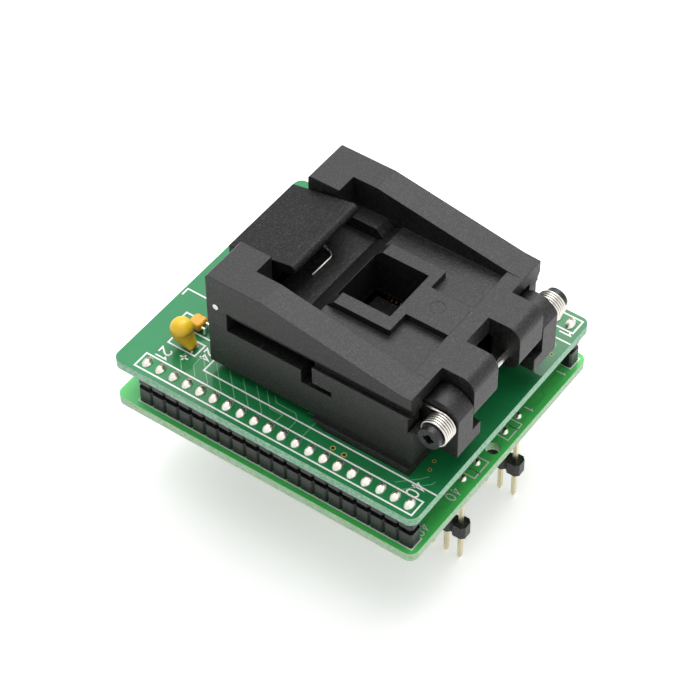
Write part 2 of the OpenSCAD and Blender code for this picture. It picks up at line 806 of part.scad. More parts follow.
module latch()
  color("darkgray")
    difference() {
      union() {
        along_y(-latch_wid / 2, latch_wid / 2) latch_outline();
        both_sides(lug_in, lug_out) lug_outline();
      }
      bar_y(latch_x, U + latch_z, latch_pin_r + latch_run, -latch_wid, latch_wid);
    }

module latch_pin()
  color("lightsteelblue")
    bar_y(latch_x, U + latch_z, latch_pin_r, -lid_wid / 2, lid_wid / 2);

module latch_spring()
  color("silver") {
    w = latch_wire;
    r = latch_coil_in + w / 2;
    y_end = latch_coil_y + (latch_turns - 1) * w * 0.98;
    foot_z = U + recess_z + w * 0.6;
    foot_x = latch_x + spring_reach - latch_wire;
    arm_x = latch_x + spring_arm;
    plate_z = U + latch_end_z - latch_thk + (arm_x - latch_end_x) * tan(latch_tilt);
    translate([latch_x, latch_coil_y, U + latch_z])
      rotate([-90, 0, 0])
        rotate_extrude($fn = 32)
          for (k = [0 : latch_turns - 1])
            translate([r, k * w * 0.98]) circle(d = w, $fn = 16);
    rod([latch_x, latch_coil_y, U + latch_z - r], [foot_x, latch_coil_y, foot_z], w / 2);
    translate([foot_x, latch_coil_y, foot_z]) sphere(w / 2, $fn = 20);
    rod([foot_x, latch_coil_y, foot_z], [foot_x - 0.2, latch_coil_y - spring_foot, foot_z], w / 2);
    rod([latch_x, y_end, U + latch_z + r], [arm_x, y_end, plate_z - w * 0.83], w / 2);
  }

// ---- capacitors ----
// Ball u of the way (0 to 1) from the drop's foot to its bulb; s is the side of the foot
module drop_ball(u, s) {
  bend = sin(90 * u);
  z0 = lead_show + drop_tip;
  translate([drop_x - drop_lean * bend, drop_y + s * (1 - bend) * lead_pitch / 2,
             U + z0 + (drop_z - z0) * u])
    sphere(drop_tip + (drop_r - drop_tip) * bend, $fn = 28);
}

// Drop-shaped body that leans over, flat under its foot where the leads enter
module dipped_capacitor()
  color("orange")
    difference() {
      for (i = [0 : drop_steps - 1])
        hull()
          for (k = [i, i + 1])
            for (s = [-1, 1])
              drop_ball(k / drop_steps, s);
      box([drop_x - 1, drop_y - 1.5, U], [drop_x + 1, drop_y + 1.5, U + lead_show + drop_tip / 2]);
    }

// Block with rounded edges that lies on the board
module disc_capacitor()
  color("darkorange")
    intersection() {
      translate([disc_x, disc_y, U + lead_show])
        linear_extrude(disc_thk)
          soft_rect(disc_len, disc_wid, disc_round);
      along_y(disc_y - disc_wid / 2, disc_y + disc_wid / 2)
        translate([disc_x, U + disc_z])
          soft_rect(disc_len, disc_thk, disc_round);
      along_x(disc_x - disc_len / 2, disc_x + disc_len / 2)
        translate([disc_y, U + disc_z])
          soft_rect(disc_wid, disc_thk, disc_round);
    }

module lead_places()
  for (s = [-1, 1]) {
    translate([drop_x, drop_y + s * lead_pitch / 2, 0]) children();
    translate([disc_lead_x, disc_y + s * lead_pitch / 2, 0]) children();
  }

module capacitor_leads()
  color("silver") {
    lead_places()
      translate([0, 0, up_under - lead_below])
        cylinder(r = lead_r, h = lead_below + board_thk + lead_show + drop_tip / 2, $fn = 20);
    for (s = [-1, 1]) {
      y = disc_y + s * lead_pitch / 2;
      translate([disc_lead_x, y, U + lead_show])
        cylinder(r = lead_r, h = disc_z - lead_show, $fn = 20);
      translate([disc_lead_x, y, U + disc_z]) sphere(lead_r, $fn = 20);
      rod([disc_lead_x, y, U + disc_z], [disc_x + disc_len / 2, y, U + disc_z], lead_r);
    }
  }

lower_board();
plug_pins_front();
plug_pins_back();
plug_block_front();
plug_block_back();
socket_strip_front();
socket_strip_back();
strip_sleeves();
lower_solder();
upper_board();
join_block_front();
join_block_back();
join_pins_front();
join_pins_back();
upper_solder();
socket_base();
contacts_latch_side();
contacts_hinge_side();
contacts_front();
contacts_back();
lid();
hinge_shaft();
hinge_bushing_front();
hinge_bushing_back();
hinge_spring_front();
hinge_spring_back();
latch();
latch_pin();
latch_spring();
dipped_capacitor();
disc_capacitor();
capacitor_leads();
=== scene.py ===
import json
import math
import random

import bpy
from mathutils import Matrix, Vector

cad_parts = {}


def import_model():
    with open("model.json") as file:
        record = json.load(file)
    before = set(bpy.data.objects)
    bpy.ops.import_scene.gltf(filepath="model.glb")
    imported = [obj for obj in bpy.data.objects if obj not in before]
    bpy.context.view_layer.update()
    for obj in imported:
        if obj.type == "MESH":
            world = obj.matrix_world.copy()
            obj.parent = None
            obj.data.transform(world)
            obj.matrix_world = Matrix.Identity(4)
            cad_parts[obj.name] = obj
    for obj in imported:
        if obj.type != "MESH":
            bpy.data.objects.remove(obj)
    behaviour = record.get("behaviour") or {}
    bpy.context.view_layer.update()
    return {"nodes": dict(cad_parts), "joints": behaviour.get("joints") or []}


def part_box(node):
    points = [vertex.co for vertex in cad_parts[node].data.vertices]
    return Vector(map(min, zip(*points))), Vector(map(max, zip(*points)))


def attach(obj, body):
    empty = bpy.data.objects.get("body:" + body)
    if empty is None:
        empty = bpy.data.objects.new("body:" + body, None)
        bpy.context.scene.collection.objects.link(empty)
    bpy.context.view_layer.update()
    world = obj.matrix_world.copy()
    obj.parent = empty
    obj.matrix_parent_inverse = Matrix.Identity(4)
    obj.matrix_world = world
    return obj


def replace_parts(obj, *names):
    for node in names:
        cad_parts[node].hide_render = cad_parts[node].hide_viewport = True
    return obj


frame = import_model()

MM = 0.001
X, Y, Z = 0, 1, 2


# ---------------------------------------------------------------- places from the frame, in mm
def span(node):
    """The lowest and the highest corner of a CAD node."""
    return [tuple(round(c / MM, 3) for c in corner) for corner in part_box(node)]


def middle(node, axis):
    low, high = span(node)
    return round((low[axis] + high[axis]) / 2, 3)


def joint_axis(name):
    """The x and z of a hinge that turns about Y."""
    place = next(joint["pos_m"] for joint in frame["joints"] if joint["name"] == name)
    return round(place[X] / MM, 3), round(place[Z] / MM, 3)


UPPER_TOP = span("upper_board")[1][Z]
LOWER_TOP = span("lower_board")[1][Z]
GROUND = span("plug_pins_front")[0][Z]
NEST_X = middle("contacts_front", X)
JOIN_Y = middle("join_pins_back", Y)
PLUG_Y = middle("plug_pins_back", Y)
BUSHING_Y = span("hinge_bushing_back")[0][Y]
HINGE_X, HINGE_Z = joint_axis("lid_hinge")
LATCH_X, LATCH_Z = joint_axis("latch_pivot")

PITCH = 2.54
ROW_COUNT = 20
FRONT_BACK = (-1, 1)


def row_x(i):
    """The x of a pin in the long rows, counted from the latch end."""
    return (i - (ROW_COUNT - 1) / 2) * PITCH


# ---------------------------------------------------------------- camera
AZIMUTH, ELEVATION, ROLL = 35.1457, 47.0160, -0.0321
AIM = Vector((-0.3672, 2.4769, UPPER_TOP))      # a point on the upper board's top face
DISTANCE = 396.038
SENSOR, LENS = 36.0, 132.803486
SHIFT_X, SHIFT_Y = -0.02552286, -0.02490857


def make_camera():
    az, el, roll = (math.radians(angle) for angle in (AZIMUTH, ELEVATION, ROLL))
    back = Vector((math.sin(az) * math.cos(el), -math.cos(az) * math.cos(el), math.sin(el)))
    level = Vector((math.cos(az), math.sin(az), 0.0))
    upright = back.cross(level)
    right = math.cos(roll) * level + math.sin(roll) * upright
    up = -math.sin(roll) * level + math.cos(roll) * upright
    place = Matrix((right, up, back)).transposed().to_4x4()
    place.translation = (AIM + back * DISTANCE) * MM
    data = bpy.data.cameras.new("camera")
    data.sensor_width = SENSOR
    data.lens = LENS
    data.shift_x = SHIFT_X
    data.shift_y = SHIFT_Y
    data.clip_start = 0.01
    data.clip_end = 10
    camera = bpy.data.objects.new("camera", data)
    bpy.context.scene.collection.objects.link(camera)
    camera.matrix_world = place
    bpy.context.scene.camera = camera


make_camera()


# ---------------------------------------------------------------- material tools
def srgb(*levels):
    """A linear colour from levels of 0 to 255."""
    parts = [level / 255 for level in levels]
    return (*(c / 12.92 if c <= 0.04045 else ((c + 0.055) / 1.055) ** 2.4 for c in parts), 1.0)


def shade(color, factor):
    return (*(min(1.0, c * factor) for c in color[:3]), 1.0)


def grey(level):
    return (level, level, level, 1)


class Look:
    """A principled material, with the few kinds of node that the looks here are made of."""

    def __init__(self, name, color, rough=0.5, metal=0.0, spec=0.5):
        self.material = bpy.data.materials.new(name)
        self.material.use_nodes = True
        self.tree = self.material.node_tree
        self.shader = self.tree.nodes["Principled BSDF"]
        self.set("Base Color", color)
        self.set("Roughness", rough)
        self.set("Metallic", metal)
        self.set("Specular IOR Level", spec)
        self.coord = self.tree.nodes.new("ShaderNodeTexCoord")

    def set(self, socket, value):
        self.shader.inputs[socket].default_value = value

    def node(self, kind, inputs, **settings):
        """A new node. Its inputs are plain values, or other nodes' outputs to link."""
        node = self.tree.nodes.new(kind)
        for key, value in settings.items():
            setattr(node, key, value)
        for key, value in inputs.items():
            if hasattr(value, "is_output"):
                self.tree.links.new(value, node.inputs[key])
            else:
                node.inputs[key].default_value = value
        return node

    def noise(self, scale, detail=4.0, rough=0.55, stretch=None):
        place = self.coord.outputs["Object"]
        if stretch:
            mapping = self.node("ShaderNodeMapping", {"Scale": stretch, "Vector": place})
            place = mapping.outputs["Vector"]
        inputs = {"Scale": scale, "Detail": detail, "Roughness": rough, "Vector": place}
        return self.node("ShaderNodeTexNoise", inputs).outputs["Fac"]

    def mix(self, factor, first, second):
        """A blend of two colours: the first at factor 0, the second at 1."""
        inputs = {0: factor, 6: first, 7: second}
        return self.node("ShaderNodeMix", inputs, data_type="RGBA").outputs[2]

    def ramp(self, value, low, high, start=0.3, end=0.7):
        """Goes from low to high as the value goes from start to end, and stays there."""
        inputs = {"From Min": start, "From Max": end, "To Min": low, "To Max": high, "Value": value}
        return self.node("ShaderNodeMapRange", inputs).outputs["Result"]

    def compute(self, operation, *values):
        return self.node("ShaderNodeMath", dict(enumerate(values)), operation=operation).outputs[0]

    def part(self, source, axis):
        """One axis of the object's own coordinates, or of its surface normal."""
        split = self.node("ShaderNodeSeparateXYZ", {"Vector": self.coord.outputs[source]})
        return split.outputs[axis]

    def color(self, output):
        self.tree.links.new(output, self.shader.inputs["Base Color"])

    def rough(self, output):
        self.tree.links.new(output, self.shader.inputs["Roughness"])

    def bump(self, height, depth, strength, bevel=None):
        """Relief of a depth in mm, over edges that the bevel's radius rounds off."""
        inputs = {"Distance": depth * MM, "Strength": strength, "Height": height}
        if bevel:
            rounded = self.node("ShaderNodeBevel", {"Radius": bevel * MM}, samples=6)
            inputs["Normal"] = rounded.outputs["Normal"]
        relief = self.node("ShaderNodeBump", inputs)
        self.tree.links.new(relief.outputs["Normal"], self.shader.inputs["Normal"])


# ---------------------------------------------------------------- kinds of surface
FIBRE = srgb(116, 116, 118)
PIT_RADIUS, PIT_TOP, PIT_EDGE = 7.0, 7.6, 0.2
LATCH_GREEN_FULL, LATCH_GREEN_GONE = -23.0, -18.5      # the resist is fully the latch-end green below the first x, and back to its usual green past the second


def inside_pit(look):
    """1 round the nest, from the base's inner deck down, and 0 elsewhere."""
    inputs = {"Location": (-NEST_X * MM, 0, 0), "Scale": (1, 1, 0),
              "Vector": look.coord.outputs["Object"]}
    flat = look.node("ShaderNodeMapping", inputs).outputs["Vector"]
    length = look.node("ShaderNodeVectorMath", {0: flat}, operation="LENGTH").outputs["Value"]
    radius = PIT_RADIUS * MM
    top = (UPPER_TOP + PIT_TOP) * MM
    edge = PIT_EDGE * MM
    near = look.ramp(length, 1, 0, radius, radius + edge)
    below = look.ramp(look.part("Object", "Z"), 1, 0, top, top + edge)
    return look.compute("MULTIPLY", near, below)


def moulded(name, color, rough=(0.36, 0.48), bevel=0.18, bump=0.07, spec=0.4, dull_pit=False):
    """Glass-filled moulding: a near-black matrix, fine paler fibres, eroded-mould grain."""
    look = Look(name, color, spec=spec)
    matrix = look.mix(look.ramp(look.noise(220, 3), 0, 1), shade(color, 0.6), shade(color, 1.4))
    specks = look.ramp(look.noise(3000, 3, 0.8), 0, 0.26, 0.5, 0.72)
    strands = look.ramp(look.noise(1500, 2, 0.7, (1, 0.2, 1)), 0, 0.3, 0.66, 0.8)
    look.color(look.mix(strands, look.mix(specks, matrix, FIBRE), FIBRE))
    gloss = look.ramp(look.noise(1900, 4, 0.7), *rough)
    if dull_pit:
        gloss = look.mix(inside_pit(look), gloss, grey(0.95))
    look.rough(gloss)
    look.bump(look.noise(2600, 3, 0.75), bump, 1.0, bevel)
    return look.material


def board(name, face, deep, edge, edge_deep, latch_end_green):
    """Glossy solder resist that turns to another green towards the latch end, and is painted darker
    on its underside; fibrous milled edges.
    """
    look = Look(name, face, 0.08, spec=0.26)
    look.set("Coat Weight", 0.4)
    look.set("Coat Roughness", 0.04)
    resist = look.mix(look.ramp(look.noise(160, 5), 0, 1), deep, face)
    resist = look.mix(look.ramp(look.noise(2400, 3), 0, 0.35), resist, shade(deep, 0.8))
    towards_latch_end = look.ramp(look.part("Object", "X"), 1, 0, LATCH_GREEN_FULL * MM, LATCH_GREEN_GONE * MM)
    resist = look.mix(towards_latch_end, resist, latch_end_green)
    upward = look.part("Normal", "Z")
    # Painted shade: the faces that point down get a much darker resist, which also bounces less
    # green light onto the floor.
    resist = look.mix(look.ramp(upward, 1, 0, -0.6, -0.4), resist, shade(deep, 0.3))
    is_edge = look.ramp(look.compute("ABSOLUTE", upward), 1.0, 0.0, 0.35, 0.65)
    fibres = look.noise(2400, 4, 0.65, (0.8, 0.8, 1.2))
    laminate = look.mix(look.ramp(fibres, 0, 1, 0.38, 0.62), edge, edge_deep)
    look.color(look.mix(is_edge, resist, laminate))
    look.rough(look.mix(is_edge, look.ramp(look.noise(500, 3), 0.4, 0.5), grey(0.7)))
    look.bump(look.noise(900, 4), 0.002, 0.6, 0.1)
    return look.material


def metal(name, color, rough, streak=None, tint=0.12, bump=0.002):
    """Bare metal, drawn out along one axis by streak, and darker by up to twice the tint."""
    look = Look(name, color, rough[0], metal=1.0)
    clean = look.ramp(look.noise(2600, 4, 0.6, streak), 0, 1)
    look.color(look.mix(clean, shade(color, 1 - tint * 2), color))
    look.rough(look.ramp(look.noise(1800, 4, 0.6, streak), *rough))
    look.bump(look.noise(5200, 3, 0.6, streak), bump, 0.8)
    return look.material


def epoxy(name, color, worn, shade_below):
    """Dipped epoxy coat with a tone that varies at random, and painted shade that turns it browner
    on the faces that point down.
    """
    look = Look(name, color, 0.24)
    coat = look.mix(look.ramp(look.noise(420, 4), 0, 1), color, worn)
    # Painted shade: faces that point down are mixed towards the brown shade colour.
    painted_shade = look.ramp(look.part("Normal", "Z"), 0.9, 0, -0.5, 0.45)
    look.color(look.mix(painted_shade, coat, shade_below))
    look.rough(look.ramp(look.noise(1500, 3), 0.24, 0.36))
    look.bump(look.noise(700, 4), 0.02, 0.7)
    return look.material


def ink(name, color, worn, rough=0.5):
    """A thin printed or etched layer, also used for the painted shade in via holes."""
    look = Look(name, color, rough)
    look.color(look.mix(look.ramp(look.noise(4200, 4), 0, 1, 0.45, 0.75), color, worn))
    look.rough(look.ramp(look.noise(3000, 3), rough - 0.1, rough + 0.1))
    look.bump(look.noise(9000, 3), 0.003, 0.7)
    return look.material


# ---------------------------------------------------------------- looks
SOCKET_BLACK = srgb(12, 11, 10)
SOCKET = moulded("socket_moulding", SOCKET_BLACK, rough=(0.4, 0.5), spec=0.42, dull_pit=True)
LATCH = moulded("latch_moulding", SOCKET_BLACK, rough=(0.4, 0.5), bump=0.05, spec=0.2)
BUSHING = moulded("bushing_moulding", srgb(20, 21, 22), rough=(0.26, 0.38))
BLOCK = moulded("pin_block", srgb(24, 24, 26), rough=(0.28, 0.4), bevel=0.12)
STRIP = moulded("socket_strip", srgb(22, 22, 24), rough=(0.28, 0.4), bevel=0.12)

BOARD_UPPER = board("board_upper", face=srgb(26, 137, 76), deep=srgb(21, 119, 64),
                    edge=srgb(168, 212, 185), edge_deep=srgb(115, 177, 138),
                    latch_end_green=srgb(8, 134, 77))
BOARD_LOWER = board("board_lower", face=srgb(92, 228, 112), deep=srgb(76, 212, 98),
                    edge=srgb(192, 218, 188), edge_deep=srgb(150, 198, 148),
                    latch_end_green=srgb(104, 240, 134))

GOLD = metal("contact_gold", srgb(236, 194, 110), (0.16, 0.3))
PIN = metal("pin_plating", srgb(232, 222, 190), (0.24, 0.4), streak=(1, 1, 0.2))
SOLDER = metal("solder", srgb(244, 240, 230), (0.28, 0.4), tint=0.08, bump=0.006)
PIN_END = metal("cut_pin_end", srgb(140, 126, 106), (0.3, 0.5), tint=0.2)
SPRING = metal("spring_wire", srgb(224, 221, 214), (0.28, 0.36), tint=0.05, bump=0.0002)
SHAFT = metal("ground_shaft", srgb(214, 212, 206), (0.16, 0.3), streak=(1, 0.15, 1))

DIPPED = epoxy("dipped_epoxy", srgb(255, 216, 52), worn=srgb(250, 200, 38), shade_below=srgb(176, 118, 16))
LYING = epoxy("disc_epoxy", srgb(252, 192, 46), worn=srgb(242, 170, 30), shade_below=srgb(150, 88, 12))

LEGEND = ink("legend_ink", srgb(252, 253, 252), srgb(240, 244, 240))
TRACK_UPPER = ink("trace_upper", srgb(118, 186, 134), srgb(98, 170, 120), 0.3)
TRACK_LOWER = ink("trace_lower", srgb(92, 196, 110), srgb(80, 184, 100), 0.3)
VIA_RIM = ink("via_rim", srgb(200, 192, 96), srgb(170, 160, 66), 0.35)
# Painted shade: a near-black disc stands for the shade inside each via hole.
VIA_HOLE_SHADE = ink("via_hole_shade", srgb(14, 22, 16), srgb(24, 34, 26), 0.7)

CAD_LOOKS = {
    "lower_board": BOARD_LOWER, "upper_board": BOARD_UPPER,
    "strip_sleeves": GOLD, "lower_solder": SOLDER, "upper_solder": SOLDER,
    "socket_base": SOCKET, "lid": SOCKET, "latch": LATCH,
    "contacts_latch_side": GOLD, "contacts_hinge_side": GOLD,
    "hinge_shaft": SHAFT, "latch_pin": SHAFT, "latch_spring": SPRING,
    "dipped_capacitor": DIPPED, "disc_capacitor": LYING, "capacitor_leads": SOLDER,
}
PAIRED_LOOKS = {
    "plug_pins_": PIN, "plug_block_": BLOCK, "socket_strip_": STRIP,
    "join_block_": STRIP, "join_pins_": PIN, "contacts_": GOLD,
    "hinge_bushing_": BUSHING, "hinge_spring_": SPRING,
}


def dress_cad():
    """Gives every CAD node its look; a paired node has one in front and one at the back."""
    looks = dict(CAD_LOOKS)
    for stem, look in PAIRED_LOOKS.items():
        looks.update({stem + side: look for side in ("front", "back")})
    for name, look in looks.items():
        node = frame["nodes"][name]
        for slot in node.material_slots:
            slot.material = look
        if not node.material_slots:
            node.data.materials.append(look)


dress_cad()


# ---------------------------------------------------------------- mesh tools
def piece(name, verts, faces, look, body, smooth=False):
    """A mesh given in mm, with its look, that rides on a body."""
    mesh = bpy.data.meshes.new(name)
    mesh.from_pydata([tuple(c * MM for c in vert) for vert in verts], [], faces)
    mesh.validate()
    mesh.update()
    mesh.materials.append(look)
    for polygon in mesh.polygons:
        polygon.use_smooth = smooth
    obj = bpy.data.objects.new(name, mesh)
    bpy.context.scene.collection.objects.link(obj)
    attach(obj, body)
    return obj


def circle(sides):
    """The cosine and sine of evenly spaced angles."""
    angles = [2 * math.pi * k / sides for k in range(sides)]
    return [(math.cos(a), math.sin(a)) for a in angles]


def skin(ring_count, sides):
    """Faces over rings of points that follow each other, then a cap at the start and the end."""
    faces = []
    for first in range(0, (ring_count - 1) * sides, sides):
        for k in range(sides):
            a, b = first + k, first + (k + 1) % sides
            faces.append((a, b, b + sides, a + sides))
    last = (ring_count - 1) * sides
    faces.append(tuple(range(sides))[::-1])
    faces.append(tuple(last + k for k in range(sides)))
    return faces


class Batch:
    """Collects many small solids, which become one piece."""

    def __init__(self):
        self.verts = []
        self.faces = []

    def add(self, verts, faces):
        first = len(self.verts)
        self.verts += [tuple(vert) for vert in verts]
        self.faces += [tuple(i + first for i in face) for face in faces]

    def tube(self, points, radius, sides=14):
        """A round wire along a path, whose rings turn with it and don't twist."""
        points = [Vector(p) for p in points]
        ahead = points[1:] + points[-1:]
        behind = points[:1] + points[:-1]
        ways = [(b - a).normalized() for a, b in zip(behind, ahead)]
        reference = Vector((0, 0, 1)) if abs(ways[0].z) < 0.9 else Vector((0, 1, 0))
        across = ways[0].cross(reference).normalized()
        verts = []
        for point, way in zip(points, ways):
            across = (across - way * across.dot(way)).normalized()
            other = way.cross(across)
            verts += [point + radius * (c * across + s * other) for c, s in circle(sides)]
        self.add(verts, skin(len(points), sides))

    def lathe(self, profile, at, sides, squash=(1, 1)):
        """Revolves (radius, z) points about an upright axis. The last point is on the axis."""
        verts = [(at[X] + radius * squash[X] * c, at[Y] + radius * squash[Y] * s, at[Z] + z)
                 for radius, z in profile[:-1] for c, s in circle(sides)]
        tip = len(verts)
        verts.append((at[X], at[Y], at[Z] + profile[-1][1]))
        faces = skin(len(profile) - 1, sides)[:-1]
        faces += [(tip - sides + k, tip - sides + (k + 1) % sides, tip) for k in range(sides)]
        self.add(verts, faces)

    def line(self, points, width, z, thick):
        """A flat printed line with mitred corners, which stands thick mm over z."""
        points = [Vector(p) for p in points]
        count = len(points)
        closed = (points[0] - points[-1]).length < 1e-6
        steps = [(b - a).normalized() for a, b in zip(points, points[1:])]
        before = [steps[-1] if closed else steps[0]] + steps
        after = steps + [steps[0] if closed else steps[-1]]
        left, right = [], []
        for point, d1, d2 in zip(points, before, after):
            n1, n2 = Vector((-d1.y, d1.x)), Vector((-d2.y, d2.x))
            mitre = (n1 + n2).normalized()
            reach = width / 2 / max(0.35, mitre.dot(n1))
            left.append(point + mitre * reach)
            right.append(point - mitre * reach)
        verts = [(p.x, p.y, height) for height in (z, z + thick) for p in left + right]
        over = 2 * count
        faces = []
        for i in range(count - 1):
            a, b, c, d = i, i + 1, count + i + 1, count + i
            faces.append((a + over, d + over, c + over, b + over))
            faces.append((a, b, c, d))
            faces.append((a, a + over, b + over, b))
            faces.append((d, c, c + over, d + over))
        if not closed:
            faces.append((0, count, over + count, over))
            faces.append((count - 1, over + count - 1, 2 * over - 1, over - 1))
        self.add(verts, faces)

    def washer(self, x, y, z, inner, outer, thick, sides=24):
        """A flat ring without an underside; an inner radius of 0 makes it a disc."""
        verts = [(x + radius * c, y + radius * s, height)
                 for height in (z, z + thick) for radius in (inner, outer) for c, s in circle(sides)]
        faces = []
        for k in range(sides):
            n = (k + 1) % sides
            faces.append((2 * sides + k, 3 * sides + k, 3 * sides + n, 2 * sides + n))
            faces.append((sides + k, sides + n, 3 * sides + n, 3 * sides + k))
            faces.append((n, k, 2 * sides + k, 2 * sides + n))
        self.add(verts, faces)

    def make(self, name, look, body, smooth=False, slot=None):
        return piece(name, self.verts, self.faces, look, body, smooth)


# ---------------------------------------------------------------- springs
HINGE_WIRE = 0.18                       # wire radius
COIL_RADIUS = 1.85 + 0.1 + 0.22         # bushing, clearance and the solid wire's radius
COIL_INNER, COIL_OUTER = 0.3, 2.78      # ends of the coil, from the bushing's inner end
COIL_TURNS = 5.5
COIL_STEPS = 80
BASE_LEG = ((-0.5, 0.02), (-1.4, 0.12), (-2.67, 0.38))      # (x, z) from the coil's bottom
LID_LEG = ((0, 0), (-1.6, 0.01), (-5.0, 0))                 # (x, z) from the coil's top


def hinge_spring(side, sign):
    """A coil on its bushing, whose outer leg meets the base, and an inner leg on the lid."""
    inner = sign * (BUSHING_Y + COIL_INNER)
    outer = sign * (BUSHING_Y + COIL_OUTER)
    count = int(COIL_TURNS * COIL_STEPS)
    path = []
    for i in range(count + 1):
        angle = math.pi / 2 - 2 * math.pi * i / COIL_STEPS
        path.append((HINGE_X + COIL_RADIUS * math.cos(angle), inner + (outer - inner) * i / count,
                     HINGE_Z + COIL_RADIUS * math.sin(angle)))
    path += [(HINGE_X + x, outer, HINGE_Z - COIL_RADIUS + z) for x, z in BASE_LEG]
    coil = Batch()
    coil.tube(path, HINGE_WIRE)
    obj = coil.make("hinge_coil_" + side, SPRING, "socket_stack", True, "steel")
    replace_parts(obj, "hinge_spring_" + side)

    angles = [math.pi / 2 - 0.35 + 0.07 * k for k in range(5)]
    path = [(HINGE_X + COIL_RADIUS * math.cos(a), inner, HINGE_Z + COIL_RADIUS * math.sin(a))
            for a in angles]
    path += [(HINGE_X + x, inner, HINGE_Z + COIL_RADIUS + z) for x, z in LID_LEG]
    leg = Batch()
    leg.tube(path, HINGE_WIRE)
    leg.make("hinge_leg_" + side, SPRING, "lid", True, "steel")


LATCH_WIRE = 0.2
LATCH_COIL_RADIUS = 0.5 + 0.12 + 0.21       # pin, clearance and the solid wire's radius
LATCH_COIL_START, LATCH_COIL_LENGTH = 0.4, 0.95     # along -Y, from past the foot's end
LATCH_TURNS = 3
LATCH_STEPS = 24
FOOT_X = LATCH_X + 7.1                      # the foot lies across the lid's deck
FOOT_START, FOOT_END = -2.5, 3.1
FOOT_Z = UPPER_TOP + 12.85
FOOT_BEND = 1.2
LATCH_LEG = ((0, 0), (2.2, 0.95), (4.6, 2.02))      # (x, z) from the coil's top


def latch_spring():
    """A coil on the latch pin with a bent foot on the lid, and a leg under the latch."""
    path = [(FOOT_X - 0.1, FOOT_START, FOOT_Z), (FOOT_X, FOOT_END - FOOT_BEND, FOOT_Z)]
    for k in range(1, 7):
        angle = math.pi / 12 * k
        path.append((FOOT_X - FOOT_BEND + FOOT_BEND * math.cos(angle),
                     FOOT_END - FOOT_BEND + FOOT_BEND * math.sin(angle), FOOT_Z + 0.01))
    path.append((FOOT_X - FOOT_BEND - 1.6, FOOT_END + 0.3, FOOT_Z + 0.8))
    count = LATCH_TURNS * LATCH_STEPS
    for i in range(count + 1):
        angle = math.pi / 2 + 2 * math.pi * i / LATCH_STEPS
        path.append((LATCH_X + LATCH_COIL_RADIUS * math.cos(angle),
                     FOOT_END + LATCH_COIL_START - LATCH_COIL_LENGTH * i / count,
                     LATCH_Z + LATCH_COIL_RADIUS * math.sin(angle)))
    coil = Batch()
    coil.tube(path, LATCH_WIRE)
    obj = coil.make("latch_coil", SPRING, "lid", True, "steel")
    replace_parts(obj, "latch_spring")

    y = FOOT_END + LATCH_COIL_START - LATCH_COIL_LENGTH
    path = [(LATCH_X + dx, y, LATCH_Z + LATCH_COIL_RADIUS + dz) for dx, dz in LATCH_LEG]
    leg = Batch()
    leg.tube(path, LATCH_WIRE)
    leg.make("latch_leg", SPRING, "latch", True, "steel")


hinge_spring("front", -1)
hinge_spring("back", 1)
latch_spring()


# ---------------------------------------------------------------- capacitors
BODY_SIDES = 36
DROP_FOOT = (-19.9, -15.75)         # where the drop's tip stands on the board
DROP_LEAN = 2.15                    # how far its bulb leans towards the latch end
DROP_SPREAD = 0.55                  # how much wider than thick its tip is
TIP_RADIUS, BULB_RADIUS = 0.36, 1.85
TIP_HEIGHT, BULB_HEIGHT = 0.66, 3.6
STEM_STEPS = 24
DOME_STEPS, DOME_END = 10, 10.3     # the dome stops just short of its pole


def drop_rings():
    """The drop's cross-sections: the centre, direction, radius and extra width of each."""
    rise = BULB_HEIGHT - TIP_HEIGHT
    rings = []
    for i in range(STEM_STEPS + 1):
        along = i / STEM_STEPS
        angle = math.pi / 2 * along
        bend = math.sin(angle)
        way = Vector((-DROP_LEAN * math.pi / 2 * math.cos(angle), 0, rise)).normalized()
        centre = Vector((DROP_FOOT[X] - DROP_LEAN * bend, DROP_FOOT[Y],
                         UPPER_TOP + TIP_HEIGHT + rise * along))
        radius = TIP_RADIUS + (BULB_RADIUS - TIP_RADIUS) * bend
        rings.append((centre, way, radius, DROP_SPREAD * (1 - bend)))
    for i in range(1, DOME_STEPS + 1):
        angle = math.pi / 2 * i / DOME_END
        rings.append((centre + way * BULB_RADIUS * math.sin(angle), way,
                      BULB_RADIUS * math.cos(angle), 0.0))
    return rings


def dipped_body():
    """A drop that leans over, flat and wide at its leads and round at its top."""
    side = Vector((0, 1, 0))
    rings = drop_rings()
    verts = []
    for centre, way, radius, extra in rings:
        out = side.cross(way)
        verts += [centre + out * radius * c + side * (radius + extra) * s
                  for c, s in circle(BODY_SIDES)]
    faces = skin(len(rings), BODY_SIDES)
    obj = piece("dipped_body", verts, faces, DIPPED, "socket_stack", True)
    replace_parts(obj, "dipped_capacitor")


BLOCK_MIDDLE = (-22.25, -11.65, UPPER_TOP + 1.175)
BLOCK_HALF = (1.15, 1.3, 0.86)
BLOCK_ROUNDING = 0.52               # 1 is a ball and 0 is a box
BLOCK_WAIST, WAIST_REACH = 0.1, 0.35
BLOCK_STEPS = 24


def lying_body():
    """A rounded block that lies on the board and sinks in a little round its middle."""
    verts = []
    for i in range(1, BLOCK_STEPS):
        tilt = math.pi * i / BLOCK_STEPS - math.pi / 2
        for c, s in circle(BODY_SIDES):
            ball = (math.cos(tilt) * c, math.cos(tilt) * s, math.sin(tilt))
            x, y, z = (math.copysign(abs(v) ** BLOCK_ROUNDING, v) for v in ball)
            waist = 1 - BLOCK_WAIST * math.exp(-(x / WAIST_REACH) ** 2)
            verts.append((BLOCK_MIDDLE[X] + x * BLOCK_HALF[X],
                          BLOCK_MIDDLE[Y] + y * BLOCK_HALF[Y] * waist,
                          BLOCK_MIDDLE[Z] + z * BLOCK_HALF[Z] * waist))
    faces = skin(BLOCK_STEPS - 1, BODY_SIDES)
    obj = piece("lying_body", verts, faces, LYING, "socket_stack", True)
    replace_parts(obj, "disc_capacitor")


